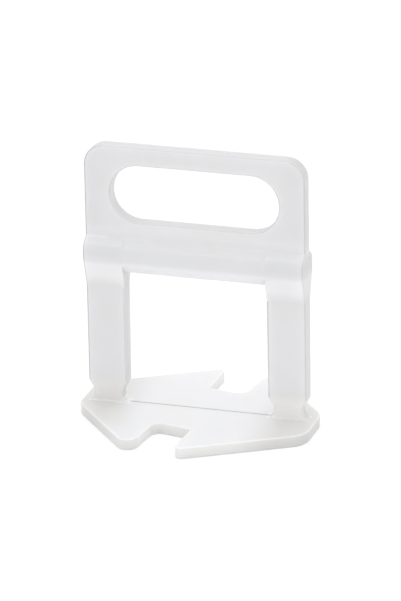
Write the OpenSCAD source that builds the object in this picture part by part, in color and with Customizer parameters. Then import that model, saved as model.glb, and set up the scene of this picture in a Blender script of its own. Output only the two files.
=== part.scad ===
// Tile levelling clip, one moulded piece: a foot plate, two legs, a thick bar and a handle.
// X runs along the joint, Y across it, Z up. The underside of the foot is at Z = 0.

/* [Overall] */
// width over the legs and the handle, along the joint
clip_width = 40; // [36:1:46]
// height from the underside of the foot to the top of the handle
clip_height = 50; // [47:1:56]

/* [Foot] */
// thickness of the foot plate
foot_thickness = 2.1; // [1.6:0.1:2.8]
// how far the foot sticks out past the legs, along the joint
foot_margin = 1.5; // [0.8:0.1:3]
// how far the corner at the end of the foot stands off the middle line
foot_corner_y = 2.8; // [1:0.2:4]
// rounding of that corner
foot_corner_radius = 5; // [2:0.5:6]
// how far the foot reaches out on each side of the joint
foot_reach_y = 20; // [18:0.5:23]
// distance of the finger tip from the middle, along the joint
finger_x = 7; // [6:0.25:8]
// rounding of the finger tip
finger_radius = 1.9; // [1:0.1:2.4]
// width of the notch between the finger and the hook
notch_width = 7; // [6:0.25:8.5]
// distance of the notch floor from the middle, at the finger
notch_floor_y = 8.2; // [7.4:0.2:9.4]
// how much further out the notch floor lies at the hook
notch_floor_rise = 1.5; // [0.8:0.1:2]
// rounding of the notch beside the finger
notch_radius = 1.7; // [0.8:0.1:2]
// rounding of the notch beside the hook
hook_root_radius = 0.8; // [0.4:0.1:1.2]
// distance of the hook tip from the middle, along the joint
hook_x = 0.9; // [0.5:0.1:2]
// how much further out the root of the hook lies than its tip, along the joint
hook_lean = 0.4; // [0.2:0.1:1]
// how much shorter the hook is than the finger, before its rounding
hook_short = 0.5; // [0.2:0.1:2]
// rounding of the hook tip
hook_radius = 1.1; // [0.5:0.1:1.4]
// length of the straight end of the foot, before its rounding
end_length = 10; // [8:0.5:11]
// rounding of the broad end of the foot
end_radius = 4.2; // [2:0.2:4.6]
// width of the fine mould line across the top of the foot
mould_line = 0.3; // [0.2:0.05:0.45]

/* [Legs] */
// thickness of a leg, equal to the joint it leaves
joint_width = 3; // [2.4:0.1:3.2]
// width of a leg along the joint
leg_width = 7; // [6:0.25:8.5]
// depth of the break-off neck in each edge of a leg
neck_depth = 0.9; // [0.6:0.1:1.5]
// how far the front and the back of a leg are cut back, from the neck down to the foot
neck_thin = 0.45; // [0.3:0.05:0.6]
// height over which the neck flares into the foot
neck_flare = 1.2; // [0.8:0.1:1.6]
// height of the straight part of the neck
neck_straight = 1; // [0.7:0.1:1.6]
// height over which the neck widens to the full leg
neck_taper = 1.8; // [1.2:0.1:2.4]
// rounding of the neck's bends, seen from the front
neck_radius = 0.5; // [0.3:0.05:0.7]

/* [Bar] */
// height of the bar's lower edge above the floor
bar_low = 26.8; // [25:0.2:28]
// thickness of the bar between the legs
bar_thickness = 5; // [4.4:0.1:5.4]
// how far the bar's lower edges are cut back
bar_chamfer = 1.3; // [0.8:0.1:1.6]
// height of that chamfer
bar_chamfer_height = 1.6; // [1.2:0.1:2]
// rounding along the bar's lower edges
bar_radius = 0.4; // [0.2:0.05:0.5]
// thickness over the swellings where the legs meet the bar
boss_thickness = 6.2; // [5.6:0.1:7]
// height of the swelling's long lower slope
boss_taper = 5.2; // [4:0.1:6]
// height of the swelling's thickest band, from just above the bar's lower edge
boss_band = 2.7; // [2:0.1:3.2]
// height of the swelling's short upper slope
boss_shoulder = 1.3; // [1:0.1:1.8]
// height of the thickest band above the bar's lower edge
boss_rise = 2.4; // [2:0.1:2.8]
// rounding of the swelling's creases
boss_radius = 1.4; // [0.8:0.1:1.6]
// length over which a swelling fades towards the window
boss_fade = 2.6; // [1:0.2:4]

/* [Handle] */
// thickness of the handle
handle_thickness = 2.6; // [2.2:0.1:3.2]
// rounding of the handle's upper corners
corner_radius = 3.7; // [2:0.1:6]
// length of the slot in the handle
slot_length = 30.6; // [26:0.2:31]
// height of the slot in the handle
slot_height = 10.4; // [8:0.2:11]
// material left above the slot
slot_cover = 3.4; // [3:0.1:4]

/* [Hidden] */
$fn = 72;
plastic = [0.93, 0.93, 0.92];
// hair by which a rounding cuts into the edges that it joins, so that they meet cleanly
seam = 0.0005;

half_width = clip_width / 2;
leg_inner = half_width - leg_width;
foot_reach_x = half_width + foot_margin;
hook_root_x = hook_x + hook_lean;
neck_low = foot_thickness + neck_flare;
neck_high = neck_low + neck_straight;
leg_low = neck_high + neck_taper;
boss_full = bar_low + boss_rise;
boss_low = boss_full - boss_taper;
boss_flat = boss_full + boss_band;
boss_top = boss_flat + boss_shoulder;
slot_middle = clip_height - slot_cover - slot_height / 2;

// corners of one half of the foot, from one end round the finger and the hook to the other end
half_foot = [
    [-foot_reach_x, -foot_corner_y],
    [-finger_x, -foot_reach_y],
    [hook_root_x - notch_width, -notch_floor_y],
    [hook_root_x, -notch_floor_y - notch_floor_rise],
    [hook_x, -foot_reach_y + hook_short],
    [foot_reach_x, foot_corner_y - end_length]
];
half_foot_radii = [
    foot_corner_radius, finger_radius, notch_radius, hook_root_radius, hook_radius, end_radius
];

function before(p, i) = p[(i + len(p) - 1) % len(p)];
function after(p, i) = p[(i + 1) % len(p)];
function toward(a, b) = (b - a) / norm(b - a);
// cosine of the angle between the two edges at a corner
function opening(p, i) = toward(p[i], before(p, i)) * toward(p[i], after(p, i));
// distance from a corner to the ends of its rounding
function setback(p, r, i) = r[i] * sqrt((1 + opening(p, i)) / (1 - opening(p, i)));
function arc_start(p, r, i) = p[i] + setback(p, r, i) * toward(p[i], before(p, i));
function arc_end(p, r, i) = p[i] + setback(p, r, i) * toward(p[i], after(p, i));
function bisector(p, i) = toward(p[i], before(p, i)) + toward(p[i], after(p, i));
function arc_centre(p, r, i) =
    p[i] + r[i] / sqrt((1 - opening(p, i)) / 2) * bisector(p, i) / norm(bisector(p, i));
function is_outward(p, i) = cross(p[i] - before(p, i), after(p, i) - p[i]) > 0;

// closed outline, drawn anticlockwise, with a radius at each corner
module rounded_outline(p, r) {
    difference() {
        union() {
            polygon([for (i = [0 : len(p) - 1])
                each r[i] > 0 ? [arc_start(p, r, i), arc_end(p, r, i)] : [p[i]]]);
            for (i = [0 : len(p) - 1])
                if (r[i] > 0 && is_outward(p, i))
                    translate(arc_centre(p, r, i))
                        circle(r = r[i] + seam);
        }
        for (i = [0 : len(p) - 1])
            if (r[i] > 0 && !is_outward(p, i))
                translate(arc_centre(p, r, i))
                    circle(r = r[i] + seam);
    }
}

// outline that is the same on both sides of its middle line, from its right-hand side
module even_outline(side, radii) {
    last = len(side) - 1;
    left = [for (i = [last : -1 : 0]) [-side[i][0], side[i][1]]];
    rounded_outline(concat(side, left), concat(radii, [for (i = [last : -1 : 0]) radii[i]]));
}

// draws a Y and Z profile along X, centred
module along_joint(length) {
    translate([-length / 2, 0, 0])
        rotate([90, 0, 90])
            linear_extrude(length)
                children();
}

// draws an X and Z profile along Y, centred
module across_joint(depth) {
    translate([0, depth / 2, 0])
        rotate([90, 0, 0])
            linear_extrude(depth)
                children();
}

// foot plate with the fine mould line across its top, between the legs
module foot() {
    difference() {
        linear_extrude(foot_thickness)
            rounded_outline(concat(half_foot, -1 * half_foot), concat(half_foot_radii, half_foot_radii));
        translate([-leg_inner, 0, foot_thickness])
            rotate([45, 0, 0])
                translate([0, -mould_line / 2, -mould_line / 2])
                    cube([2 * leg_inner, mould_line, mould_line]);
    }
}

// front view of a leg: a straight strip, pinched just above the foot
module leg_front() {
    half = leg_width / 2;
    side = [
        [half, 0],
        [half, foot_thickness],
        [half - neck_depth, neck_low],
        [half - neck_depth, neck_high],
        [half, leg_low],
        [half, boss_full]
    ];
    even_outline(side, [0, 0, neck_radius, neck_radius, neck_radius, 0]);
}

// side view of a leg: thinner from the neck down to the foot
module leg_side() {
    half = joint_width / 2;
    side = [
        [half - neck_thin, 0],
        [half - neck_thin, neck_high],
        [half, leg_low],
        [half, boss_full]
    ];
    even_outline(side, [0, 0, 0, 0]);
}

module leg() {
    intersection() {
        across_joint(2 * joint_width)
            leg_front();
        along_joint(2 * leg_width)
            leg_side();
    }
}

// swelling over the head of a leg, thickest at the outer edge and fading towards the window
module boss() {
    side = [
        [joint_width / 2, boss_low],
        [boss_thickness / 2, boss_full],
        [boss_thickness / 2, boss_flat],
        [handle_thickness / 2, boss_top]
    ];
    plan = [
        [leg_width / 2, boss_thickness / 2],
        [boss_fade - leg_width / 2, boss_thickness / 2],
        [-leg_width / 2, bar_thickness / 2]
    ];
    intersection() {
        along_joint(2 * leg_width)
            even_outline(side, [0, boss_radius, boss_radius, 0]);
        translate([0, 0, boss_low - 1])
            linear_extrude(boss_top - boss_low + 2)
                polygon(concat(plan, [for (i = [2 : -1 : 0]) [plan[i][0], -plan[i][1]]]));
    }
}

// bar between the legs, with chamfered lower edges that the wedge bears on
module bar() {
    side = [
        [bar_thickness / 2 - bar_chamfer, bar_low],
        [bar_thickness / 2, bar_low + bar_chamfer_height],
        [bar_thickness / 2, boss_flat],
        [handle_thickness / 2, boss_top]
    ];
    along_joint(2 * leg_inner + leg_width)
        even_outline(side, [bar_radius, bar_radius, boss_radius, 0]);
}

// handle plate with rounded upper corners and a long round-ended slot
module handle() {
    plate = [
        [half_width, boss_full],
        [half_width, clip_height]
    ];
    across_joint(handle_thickness)
        difference() {
            even_outline(plate, [0, corner_radius]);
            translate([(slot_height - slot_length) / 2, slot_middle - slot_height / 2])
                square([slot_length - slot_height, slot_height]);
            for (s = [-1, 1])
                translate([s * (slot_length - slot_height) / 2, slot_middle])
                    circle(r = slot_height / 2);
        }
}

// the whole clip, the same again after half a turn about Z
module levelling_clip() {
    color(plastic)
        union() {
            foot();
            bar();
            handle();
            for (turn = [0, 180])
                rotate([0, 0, turn])
                    translate([half_width - leg_width / 2, 0, 0]) {
                        leg();
                        boss();
                    }
        }
}

levelling_clip();
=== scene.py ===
import bpy
from math import radians, degrees, sin, cos
from mathutils import Matrix, Vector


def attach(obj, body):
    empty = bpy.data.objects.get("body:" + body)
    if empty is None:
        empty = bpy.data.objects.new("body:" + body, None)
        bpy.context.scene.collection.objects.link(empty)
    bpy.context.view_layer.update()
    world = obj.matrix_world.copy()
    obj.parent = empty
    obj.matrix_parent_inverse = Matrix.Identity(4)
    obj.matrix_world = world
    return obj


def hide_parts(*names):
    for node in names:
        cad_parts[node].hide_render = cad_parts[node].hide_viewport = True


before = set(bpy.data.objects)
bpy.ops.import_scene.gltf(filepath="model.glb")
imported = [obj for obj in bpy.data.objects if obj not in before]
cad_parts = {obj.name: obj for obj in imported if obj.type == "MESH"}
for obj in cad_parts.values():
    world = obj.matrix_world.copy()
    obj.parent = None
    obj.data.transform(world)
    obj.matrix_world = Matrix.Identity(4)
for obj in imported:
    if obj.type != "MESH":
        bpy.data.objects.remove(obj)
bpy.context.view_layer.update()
print("stage: frame loaded")

# clip body: the CAD shape with the soft edges of a moulded part, lengths in metres
clipValues = {
    "edgeRound": 0.00026,            # rounding of the edges
    "leastAngle": 45,                # an edge that turns less stays as it is, degrees
    "roundSteps": 3,
    "smoothAngle": 32,               # faces that turn less shade as one, degrees
    "evenWeight": 100,               # how strongly large faces stay even
    "joinStep": 0.000002,            # points of the CAD mesh closer than this are joined
    "flatAngle": 0.6,                # faces that turn less become one, degrees
    "footTop": 0.0021,               # height of the foot's upper face
    "footEdgeTop": 0.0026,           # what lies lower belongs to the foot
    "mouldReach": (0.0004, 0.0003),  # the mould line is this near to the middle and the top
    "neckZone": (0.0024, 0.0065),    # heights between which the legs are pinched
    "neckStep": 0.00022,             # points of a neck's bend closer than this are joined
    "rootReach": 0.0012,             # the legs' roots are this near to the middle plane
    "rootSpan": (0.012, 0.0202),     # and lie between these distances from the middle
    "rootLift": 0.00001,             # and this near to the foot's top
    "legInner": 0.013,               # distance of the legs' inner sides from the middle
    "stepReach": 0.0002,             # the steps between bar and legs are this near to them
    "barZone": (0.0262, 0.034),      # and lie between these heights
    "shoulder": (0.0303, 0.0335),    # heights of the swellings' upper slopes
    "levelRun": 2,                   # their level edges run this many times as far as they climb
    "slotEnd": 0.0155,               # the slot's ends are nearer to the middle than this
    # tones of the faces, in shares of the plastic's edgeShade, where less than 0 is lighter:
    # painted shade, and painted highlight where lighter, on all but the mould line
    "paintedShade": (1, 1.65),           # painted shade of upright edges, at the right and the left of a face
    "innerEdgeTone": (0.6, 1.2),     # the same beside the window
    "slotEdgeTone": 0.8,             # upright edges of the slot
    "levelEdgeTone": 0.45,           # level edges of the plate
    "neckEdgeTone": 0.55,            # edges of the necks
    "footEdgeTone": -0.25,           # upper edges of the foot
    "soleTone": 0.15,                # lower edges of the foot
    "mouldTone": 1.3,                # mould line
    "stepTone": -0.7,                # small steps between bar and legs
    "sideTone": 0.7,                 # sides of the plate and the legs
    "slotTone": 0.42,                # round ends of the slot
    "topTone": 0.38,                 # top of the plate and floor of the slot
    "wallTone": (0.26, 0.45),        # walls of the foot, in general and beside the finger
    "wallFrom": 0.008,               # walls further out than this darken as they turn sideways
    "wallTurn": (0.53, 0.74),        # turn at which that starts and is full
    "cornerTone": 0.1,               # walls at the foot's corners beside the legs
    "cornerFrom": (0.0185, 0.0205),  # distances at which that starts and is full
    "endTone": 0.6,                  # broad ends of the foot
    "endTurn": (0.5, 0.95),          # turn at which that starts and is full
    "tipTone": 0.55,                 # tip of the finger
    "tipFrom": (0.0135, 0.017),      # distances at which that starts and is full
    "sideTurn": 0.3,                 # a face that leans less counts as a side or a wall
    "slant": 0.6,                    # a rounding that leans less counts as the wall below it
    "levelTurn": 0.95,               # a face that points up more than this is level
}
edgeMark = 1    # material index of the rounded edges until their tone is stored

def linkPiece(name, mesh):
    piece = bpy.data.objects.new(name, mesh)
    bpy.context.scene.collection.objects.link(piece)
    return piece

def pickOnly(piece):
    bpy.ops.object.select_all(action="DESELECT")
    piece.select_set(True)
    bpy.context.view_layer.objects.active = piece

def cleanFaces(piece, values):
    pickOnly(piece)
    bpy.ops.mesh.customdata_custom_splitnormals_clear()
    bpy.ops.object.mode_set(mode="EDIT")
    bpy.ops.mesh.select_all(action="SELECT")
    bpy.ops.mesh.remove_doubles(threshold=values["joinStep"])
    bpy.ops.mesh.dissolve_limited(angle_limit=radians(values["flatAngle"]))
    bpy.ops.object.mode_set(mode="OBJECT")

def joinNeckBends(piece, values):
    low, high = values["neckZone"]
    bpy.ops.object.mode_set(mode="EDIT")
    bpy.ops.mesh.select_mode(type="VERT")
    bpy.ops.mesh.select_all(action="DESELECT")
    bpy.ops.object.mode_set(mode="OBJECT")
    for vertex in piece.data.vertices:
        vertex.select = low < vertex.co.z < high
    bpy.ops.object.mode_set(mode="EDIT")
    bpy.ops.mesh.remove_doubles(threshold=values["neckStep"])
    bpy.ops.mesh.select_all(action="DESELECT")
    bpy.ops.object.mode_set(mode="OBJECT")

def edgeTurns(mesh):
    faces = {}
    for poly in mesh.polygons:
        for key in poly.edge_keys:
            faces.setdefault(key, []).append(poly.normal.copy())
    turns = []
    for edge in mesh.edges:
        pair = faces.get(edge.key, [])
        turns.append(degrees(pair[0].angle(pair[1], 0)) if len(pair) == 2 else 0)
    return turns

def inMouldLine(point, values):
    reach, drop = values["mouldReach"]
    return abs(point.y) < reach and abs(point.z - values["footTop"]) < drop

def onBarStep(ends, values):
    low, high = values["barZone"]
    atLeg = all(abs(abs(end.x) - values["legInner"]) < values["stepReach"] for end in ends)
    return atLeg and low < max(end.z for end in ends) < high

def onShoulder(ends, values):
    low, high = values["shoulder"]
    run, climb = abs(ends[0].x - ends[1].x), abs(ends[0].z - ends[1].z)
    isLevel = run > values["levelRun"] * climb
    return isLevel and all(low < end.z < high for end in ends)

def atLegRoot(ends, values):
    low, high = values["rootSpan"]
    onTop = all(abs(end.z - values["footTop"]) < values["rootLift"] for end in ends)
    return onTop and all(
        abs(end.y) < values["rootReach"] and low < abs(end.x) < high for end in ends)

def staysSharp(ends, turn, values):
    middle = (ends[0] + ends[1]) / 2
    return (turn < values["leastAngle"] or inMouldLine(middle, values)
            or onBarStep(ends, values) or onShoulder(ends, values) or atLegRoot(ends, values))

def roundEdges(piece, values):
    mesh = piece.data
    weights = mesh.attributes.new("bevel_weight_edge", "FLOAT", "EDGE")
    for edge, turn in zip(mesh.edges, edgeTurns(mesh)):
        ends = [mesh.vertices[i].co for i in edge.vertices]
        weights.data[edge.index].value = 0 if staysSharp(ends, turn, values) else 1
    pickOnly(piece)
    bevel = piece.modifiers.new("softEdges", "BEVEL")
    bevel.limit_method = "WEIGHT"
    bevel.width = values["edgeRound"]
    bevel.segments = values["roundSteps"]
    bevel.use_clamp_overlap = False
    bevel.material = edgeMark
    bpy.ops.object.modifier_apply(modifier=bevel.name)
    bpy.ops.object.shade_smooth_by_angle(angle=radians(values["smoothAngle"]))
    even = piece.modifiers.new("evenFaces", "WEIGHTED_NORMAL")
    even.weight = values["evenWeight"]
    even.keep_sharp = True
    bpy.ops.object.modifier_apply(modifier=even.name)

def shareBetween(value, start, full):
    return min(max((value - start) / (full - start), 0), 1)

# painted shade of the foot's walls
def wallTone(poly, values):
    plain, dark = values["wallTone"]
    out, reach = abs(poly.center.x), abs(poly.center.y)
    turn = abs(poly.normal.x) if out > values["wallFrom"] else 0
    if poly.center.x * poly.center.y < 0:    # the side of the hook and the broad end
        return plain + (values["endTone"] - plain) * shareBetween(turn, *values["endTurn"])
    dark += (values["cornerTone"] - dark) * shareBetween(out, *values["cornerFrom"])
    tone = plain + (dark - plain) * shareBetween(turn, *values["wallTurn"])
    return tone + (values["tipTone"] - tone) * shareBetween(reach, *values["tipFrom"])

def inSlot(poly, values):
    return poly.center.z > values["shoulder"][1] and abs(poly.center.x) < values["slotEnd"]

def isFootWall(poly, values):
    low = poly.center.z < values["footTop"] and not inMouldLine(poly.center, values)
    return low and abs(poly.normal.z) < values["sideTurn"]

# painted shade of a rounded edge, and painted highlight on the foot's upper edges
def roundingTone(poly, values):
    sideways, upright = abs(poly.normal.x), abs(poly.normal.z)
    height = poly.center.z
    if height < values["footTop"] / 2:
        return values["soleTone"]
    if height < values["footTop"] and upright < values["slant"]:
        return wallTone(poly, values)
    if height < values["footEdgeTop"]:
        return values["footEdgeTone"]
    if height < values["neckZone"][1]:
        return values["neckEdgeTone"]
    atLeft = poly.normal.x * poly.normal.y > 0
    edge = values["paintedShade"][atLeft]
    if inSlot(poly, values):
        edge = values["slotEdgeTone"]
    elif abs(poly.center.x) < values["legInner"] + values["edgeRound"]:
        edge = values["innerEdgeTone"][atLeft]
    share = sideways / (sideways + upright)
    return values["levelEdgeTone"] * (1 - share) + edge * share

# painted shade of a face, and painted highlight on the steps; the mould line's tone darkens the
# line itself
def faceTone(poly, values):
    if inMouldLine(poly.center, values) and poly.normal.z < values["levelTurn"]:
        return values["mouldTone"]
    if onBarStep([poly.center], values):
        return values["stepTone"]
    if isFootWall(poly, values):
        return wallTone(poly, values)
    if abs(poly.normal.y) < values["sideTurn"] and poly.center.z > values["footEdgeTop"]:
        side = values["slotTone" if inSlot(poly, values) else "sideTone"]
        return side * abs(poly.normal.x) + values["topTone"] * abs(poly.normal.z)
    return 0

# stores each face's painted shade, and which faces are the foot's walls
def storeTones(piece, values):
    mesh = piece.data
    tone = mesh.attributes.new("paintedShade", "FLOAT", "FACE")
    warmth = mesh.attributes.new("wallWarmth", "FLOAT", "FACE")
    for poly in mesh.polygons:
        if poly.material_index == edgeMark:
            tone.data[poly.index].value = roundingTone(poly, values)
        else:
            tone.data[poly.index].value = faceTone(poly, values)
            warmth.data[poly.index].value = 1 if isFootWall(poly, values) else 0

clipBody = linkPiece("clipBody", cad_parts["levelling_clip"].data.copy())
cleanFaces(clipBody, clipValues)
joinNeckBends(clipBody, clipValues)
clipBody.data.materials.append(bpy.data.materials.new("edgeMark"))
roundEdges(clipBody, clipValues)
storeTones(clipBody, clipValues)
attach(clipBody, "root")
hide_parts("levelling_clip")
print("stage: clip body, faces", len(clipBody.data.polygons))

# natural polypropylene: milky, satin, faintly clouded
# a glow is painted light, or painted shade where it is below 0; a band gives where it starts, is
# full, fades and ends
plasticValues = {
    "light": (0.798, 0.8, 0.82),
    "dark": (0.785, 0.785, 0.789),
    "warm": (0.797, 0.792, 0.781),   # the foot's ends and walls, and the necks
    "warmHeight": (0.005, 0.009),
    "warmFrom": (0.0095, 0.016),
    "cloudSize": 210,
    "cloudDetail": 4,
    "cloudRange": (0.32, 0.68),
    "grainSize": 2600,
    "grainStrength": 0.35,
    "grainDepth": 0.00002,
    "rough": (0.28, 0.36),
    "bending": 1.49,                 # index of refraction
    "scatter": 0.6,
    "scatterTint": (1.0, 0.98, 0.96),
    "scatterDepth": 0.0016,
    "edgeShade": 0.23,               # how much darker a face with a tone of 1 is painted
    "slopeGlow": 0.11,               # painted light on the bar's chamfers and the swellings' lower slopes
    "slopeBand": (0.0238, 0.0264, 0.0282, 0.0294),
    "creaseGlow": 0.03,              # painted light in the crease above the bar
    "creaseBand": (0.0316, 0.0328, 0.0344, 0.0362),
    "lineGlow": 0.035,               # a painted highlight, a fine line in that crease
    "lineBand": (0.0329, 0.0331, 0.0333, 0.0335),
    "endLineGlow": 0.05,             # the same painted highlight again, over the left end
    "endLineFrom": (0.0153, 0.0165),
    "headGlow": -0.035,              # painted shade on the thick heads of the legs
    "headBand": (0.0295, 0.0303, 0.0316, 0.0326),
    "headFrom": (0.0126, 0.0146),
    "handleGlow": -0.022,            # painted shade at the handle's ends
    "handleFrom": (0.0325, 0.0355),
    "handleEnds": (0.015, 0.019),
    "legGlow": (0.03, 0.01),         # painted light on the right leg's face, beside the window and further out
    "legFrom": (0.0132, 0.0155),
    "legBand": (0.006, 0.0085, 0.0215, 0.0245),
    "neckGlow": (0.09, 0.03),        # painted light on the right and the left leg's neck
    "neckBand": (0.0045, 0.0075),
    "footGlow": 0.125,               # painted light on the thin foot, between the legs
    "footBand": (0.0022, 0.0026),
    "footMiddle": (0.009, 0.0175),
    "footEnds": -0.35,               # share of that glow at the foot's ends, where it is painted shade
    "rootGlow": 0.19,                # painted highlight in the corners where the legs stand on the foot
    "rootHeight": (0.00225, 0.00255),
    "rootDepth": (0.0012, 0.0014),
    "rootWidth": (0.0122, 0.0128, 0.0201, 0.0203),
    "sideFade": 0.000001,            # how sharply left and right differ, square metres
}

def addFade(tree, source, start, end, fromValue, toValue):
    fade = tree.nodes.new("ShaderNodeMapRange")
    fade.interpolation_type = "SMOOTHSTEP"
    fade.inputs["From Min"].default_value = start
    fade.inputs["From Max"].default_value = end
    fade.inputs["To Min"].default_value = fromValue
    fade.inputs["To Max"].default_value = toValue
    tree.links.new(source, fade.inputs["Value"])
    return fade.outputs["Result"]

def addMath(tree, operation, first, second=None):
    step = tree.nodes.new("ShaderNodeMath")
    step.operation = operation
    tree.links.new(first, step.inputs[0])
    if second:
        tree.links.new(second, step.inputs[1])
    return step.outputs["Value"]

def addBand(tree, source, band, amount):
    rise, full, fall, over = band
    return addMath(tree, "MULTIPLY", addFade(tree, source, rise, full, 0, amount),
                   addFade(tree, source, fall, over, 1, 0))

# painted light and shade by height and place, and where the plastic looks warmer
def makePaintedLightAndWarmth(values):
    tree = bpy.data.node_groups.new("paintedLightAndWarmth", "ShaderNodeTree")
    tree.interface.new_socket("Place", in_out="INPUT", socket_type="NodeSocketVector")
    tree.interface.new_socket("Lightness", in_out="OUTPUT", socket_type="NodeSocketFloat")
    tree.interface.new_socket("Warmth", in_out="OUTPUT", socket_type="NodeSocketFloat")
    start = tree.nodes.new("NodeGroupInput")
    end = tree.nodes.new("NodeGroupOutput")
    parts = tree.nodes.new("ShaderNodeSeparateXYZ")
    tree.links.new(start.outputs["Place"], parts.inputs["Vector"])
    height = parts.outputs["Z"]
    sideways = addMath(tree, "ABSOLUTE", parts.outputs["X"])
    depth = addMath(tree, "ABSOLUTE", parts.outputs["Y"])
    corner = addMath(tree, "MULTIPLY", parts.outputs["X"], parts.outputs["Y"])

    def times(*factors):
        product = factors[0]
        for factor in factors[1:]:
            product = addMath(tree, "MULTIPLY", product, factor)
        return product

    def band(source, name, amount):
        return addBand(tree, source, values[name], amount)

    def fade(source, name, fromValue, toValue):
        return addFade(tree, source, *values[name], fromValue, toValue)

    def rightToLeft(right, left):    # as seen from the front, and again from behind
        return addFade(tree, corner, -values["sideFade"], values["sideFade"], right, left)

    glows = [
        band(height, "slopeBand", values["slopeGlow"]),
        band(height, "creaseBand", values["creaseGlow"]),
        band(height, "lineBand", values["lineGlow"]),
        times(band(height, "lineBand", values["endLineGlow"]),
              fade(sideways, "endLineFrom", 0, 1), rightToLeft(0, 1)),
        times(band(height, "headBand", values["headGlow"]),
              fade(sideways, "headFrom", 0, 1)),
        times(fade(height, "handleFrom", 0, values["handleGlow"]),
              fade(sideways, "handleEnds", 0, 1)),
        times(band(height, "legBand", 1),
              fade(sideways, "legFrom", *values["legGlow"]), rightToLeft(1, 0)),
        times(fade(height, "footBand", 0, 1), fade(height, "neckBand", 1, 0),
              rightToLeft(*values["neckGlow"])),
        times(fade(height, "footBand", values["footGlow"], 0),
              fade(sideways, "footMiddle", 1, values["footEnds"])),
        times(band(sideways, "rootWidth", values["rootGlow"]),
              fade(height, "rootHeight", 1, 0), fade(depth, "rootDepth", 1, 0)),
    ]
    lightness = tree.nodes.new("ShaderNodeMath")
    lightness.operation = "ADD"
    lightness.inputs[1].default_value = 1
    total = glows[0]
    for glow in glows[1:]:
        total = addMath(tree, "ADD", total, glow)
    tree.links.new(total, lightness.inputs[0])
    tree.links.new(lightness.outputs["Value"], end.inputs["Lightness"])
    warmth = times(fade(height, "warmHeight", 1, 0), fade(sideways, "warmFrom", 0, 1))
    tree.links.new(warmth, end.inputs["Warmth"])
    return tree

def addColour(tree, glow, cloud, values):
    nodes, links = tree.nodes, tree.links
    tint = nodes.new("ShaderNodeValToRGB")
    stops = zip(tint.color_ramp.elements, values["cloudRange"], ("dark", "light"))
    for stop, position, name in stops:
        stop.position = position
        stop.color = (*values[name], 1)
    links.new(cloud, tint.inputs["Fac"])
    wall = nodes.new("ShaderNodeAttribute")
    wall.attribute_name = "wallWarmth"
    blend = nodes.new("ShaderNodeMix")
    blend.data_type = "RGBA"
    cool, warm = (socket for socket in blend.inputs if socket.type == "RGBA")
    warm.default_value = (*values["warm"], 1)
    links.new(tint.outputs["Color"], cool)
    links.new(addMath(tree, "MAXIMUM", glow.outputs["Warmth"], wall.outputs["Fac"]),
              blend.inputs["Factor"])
    # the faces' painted shade and highlights and the group's painted light scale the colour
    edge = nodes.new("ShaderNodeAttribute")
    edge.attribute_name = "paintedShade"
    shade = nodes.new("ShaderNodeMath")
    shade.operation = "MULTIPLY_ADD"
    shade.inputs[1].default_value = -values["edgeShade"]
    shade.inputs[2].default_value = 1
    links.new(edge.outputs["Fac"], shade.inputs[0])
    toned = nodes.new("ShaderNodeVectorMath")
    toned.operation = "SCALE"
    blended = next(socket for socket in blend.outputs if socket.type == "RGBA")
    links.new(blended, toned.inputs[0])
    links.new(addMath(tree, "MULTIPLY", shade.outputs["Value"], glow.outputs["Lightness"]),
              toned.inputs["Scale"])
    return toned.outputs["Vector"]

def makePlastic(values):
    material = bpy.data.materials.new("clipPlastic")
    material.use_nodes = True
    nodes = material.node_tree.nodes
    links = material.node_tree.links
    shader = nodes["Principled BSDF"]
    place = nodes.new("ShaderNodeTexCoord").outputs["Object"]
    cloud = nodes.new("ShaderNodeTexNoise")
    cloud.inputs["Scale"].default_value = values["cloudSize"]
    cloud.inputs["Detail"].default_value = values["cloudDetail"]
    links.new(place, cloud.inputs["Vector"])
    glow = nodes.new("ShaderNodeGroup")
    glow.node_tree = makePaintedLightAndWarmth(values)
    links.new(place, glow.inputs["Place"])
    colour = addColour(material.node_tree, glow, cloud.outputs["Fac"], values)
    links.new(colour, shader.inputs["Base Color"])
    rough = nodes.new("ShaderNodeMapRange")
    rough.inputs["To Min"].default_value, rough.inputs["To Max"].default_value = values["rough"]
    links.new(cloud.outputs["Fac"], rough.inputs["Value"])
    links.new(rough.outputs["Result"], shader.inputs["Roughness"])
    grain = nodes.new("ShaderNodeTexNoise")
    grain.inputs["Scale"].default_value = values["grainSize"]
    links.new(place, grain.inputs["Vector"])
    bump = nodes.new("ShaderNodeBump")
    bump.inputs["Strength"].default_value = values["grainStrength"]
    bump.inputs["Distance"].default_value = values["grainDepth"]
    links.new(grain.outputs["Fac"], bump.inputs["Height"])
    links.new(bump.outputs["Normal"], shader.inputs["Normal"])
    shader.inputs["IOR"].default_value = values["bending"]
    shader.inputs["Subsurface Weight"].default_value = values["scatter"]
    shader.inputs["Subsurface Radius"].default_value = values["scatterTint"]
    shader.inputs["Subsurface Scale"].default_value = values["scatterDepth"]
    return material

plastic = makePlastic(plasticValues)
clipBody.data.materials.clear()
clipBody.data.polygons.foreach_set("material_index", [0] * len(clipBody.data.polygons))
clipBody.data.materials.append(plastic)
print("stage: plastic")

# camera at the photo's angle
cameraValues = {
    "azimuth": 17.792,
    "elevation": 20.718,
    "roll": -1.052,
    "distance": 0.84831,
    "target": (0, 0, 0.02293),
    "focalPixels": 4861.9,
    "centre": (197.94, 297.28),      # pixel that the lens points at
    "frame": (401, 601),
    "sensor": 36,                    # height of the sensor, millimetres
    "nearest": 0.01,
}

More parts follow.
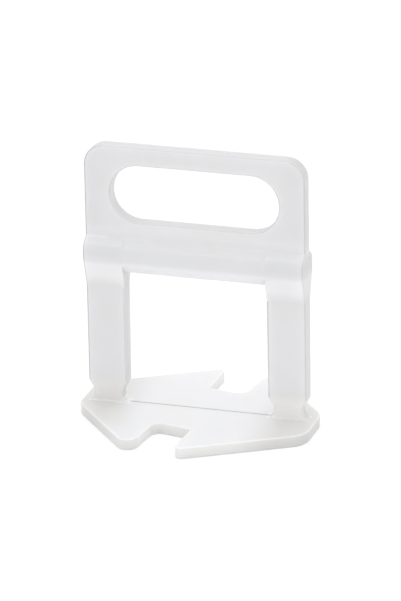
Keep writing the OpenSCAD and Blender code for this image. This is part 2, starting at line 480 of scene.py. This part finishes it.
def placeCamera(values):
    a, e, r = (radians(values[k]) for k in ("azimuth", "elevation", "roll"))
    right = Vector((cos(a), sin(a), 0))
    back = Vector((sin(a) * cos(e), -cos(a) * cos(e), sin(e)))
    up = back.cross(right)
    turnedRight = cos(r) * right + sin(r) * up
    turnedUp = cos(r) * up - sin(r) * right
    lens = bpy.data.cameras.new("photoCamera")
    camera = bpy.data.objects.new("photoCamera", lens)
    bpy.context.scene.collection.objects.link(camera)
    place = Vector(values["target"]) + values["distance"] * back
    turn = Matrix((turnedRight, turnedUp, back)).transposed().to_4x4()
    camera.matrix_world = Matrix.Translation(place) @ turn
    width, height = values["frame"]
    lens.sensor_fit = "VERTICAL"
    lens.sensor_height = values["sensor"]
    lens.lens = values["focalPixels"] * values["sensor"] / height
    lens.shift_x = (width / 2 - values["centre"][0]) / height
    lens.shift_y = (values["centre"][1] - height / 2) / height
    lens.clip_start = values["nearest"]
    bpy.context.scene.camera = camera

placeCamera(cameraValues)
print("stage: camera")

# pale floor, soft studio light and a white surround
stageValues = {
    "floorSize": 3,
    "floorColour": (0.97, 0.97, 0.97),
    "floorRough": 0.9,
    "floorGloss": 0.1,
    "floorGlow": 1.06,               # what the camera sees of the floor where no shadow falls
    "floorShare": 0.72,              # share of that glow in what it sees
    "skyLeft": 0.88,
    "skyRight": 1.02,
    "topPlace": (-0.1, 0.15, 0.9),
    "topAim": (0, 0, 0.02),
    "topSize": 0.8,
    "topPower": 0.8,
}

def addSeenRays(tree):
    path = tree.nodes.new("ShaderNodeLightPath")
    mirrored = addMath(tree, "MAXIMUM", path.outputs["Is Glossy Ray"],
                       path.outputs["Is Transmission Ray"])
    return addMath(tree, "MAXIMUM", path.outputs["Is Camera Ray"], mirrored)

def makeFloor(values):
    bpy.ops.object.select_all(action="DESELECT")
    bpy.ops.mesh.primitive_plane_add(size=values["floorSize"])
    floor = bpy.context.active_object
    floor.name = "floor"
    material = bpy.data.materials.new("floorPaper")
    material.use_nodes = True
    nodes = material.node_tree.nodes
    links = material.node_tree.links
    paper = nodes["Principled BSDF"]
    paper.inputs["Base Color"].default_value = (*values["floorColour"], 1)
    paper.inputs["Roughness"].default_value = values["floorRough"]
    paper.inputs["Specular IOR Level"].default_value = values["floorGloss"]
    glow = nodes.new("ShaderNodeEmission")
    glow.inputs["Strength"].default_value = values["floorGlow"]
    share = nodes.new("ShaderNodeMath")
    share.operation = "MULTIPLY"
    share.inputs[1].default_value = values["floorShare"]
    mix = nodes.new("ShaderNodeMixShader")
    links.new(addSeenRays(material.node_tree), share.inputs[0])
    links.new(share.outputs["Value"], mix.inputs["Fac"])
    links.new(paper.outputs["BSDF"], mix.inputs[1])
    links.new(glow.outputs["Emission"], mix.inputs[2])
    links.new(mix.outputs["Shader"], nodes["Material Output"].inputs["Surface"])
    floor.data.materials.append(material)

def addTopLight(values):
    lamp = bpy.data.lights.new("topLight", "AREA")
    lamp.shape = "SQUARE"
    lamp.size = values["topSize"]
    lamp.energy = values["topPower"]
    holder = bpy.data.objects.new("topLight", lamp)
    bpy.context.scene.collection.objects.link(holder)
    holder.location = values["topPlace"]
    aim = Vector(values["topAim"]) - Vector(values["topPlace"])
    holder.rotation_euler = aim.to_track_quat("-Z", "Y").to_euler()

def makeWorld(values):
    world = bpy.data.worlds.new("surround")
    bpy.context.scene.world = world
    world.use_nodes = True
    nodes = world.node_tree.nodes
    links = world.node_tree.links
    lit = nodes["Background"]
    lit.inputs["Color"].default_value = (1, 1, 1, 1)
    place = nodes.new("ShaderNodeTexCoord")
    parts = nodes.new("ShaderNodeSeparateXYZ")
    level = nodes.new("ShaderNodeMapRange")
    level.inputs["From Min"].default_value = -1
    level.inputs["To Min"].default_value = values["skyLeft"]
    level.inputs["To Max"].default_value = values["skyRight"]
    links.new(place.outputs["Generated"], parts.inputs["Vector"])
    links.new(parts.outputs["X"], level.inputs["Value"])
    links.new(level.outputs["Result"], lit.inputs["Strength"])
    seen = nodes.new("ShaderNodeBackground")
    seen.inputs["Strength"].default_value = 1
    seen.inputs["Color"].default_value = (1, 1, 1, 1)
    mix = nodes.new("ShaderNodeMixShader")
    links.new(addSeenRays(world.node_tree), mix.inputs["Fac"])
    links.new(lit.outputs["Background"], mix.inputs[1])
    links.new(seen.outputs["Background"], mix.inputs[2])
    links.new(mix.outputs["Shader"], nodes["World Output"].inputs["Surface"])

makeFloor(stageValues)
makeWorld(stageValues)
addTopLight(stageValues)
bpy.context.scene.view_settings.view_transform = "Standard"
print("stage: floor and light")
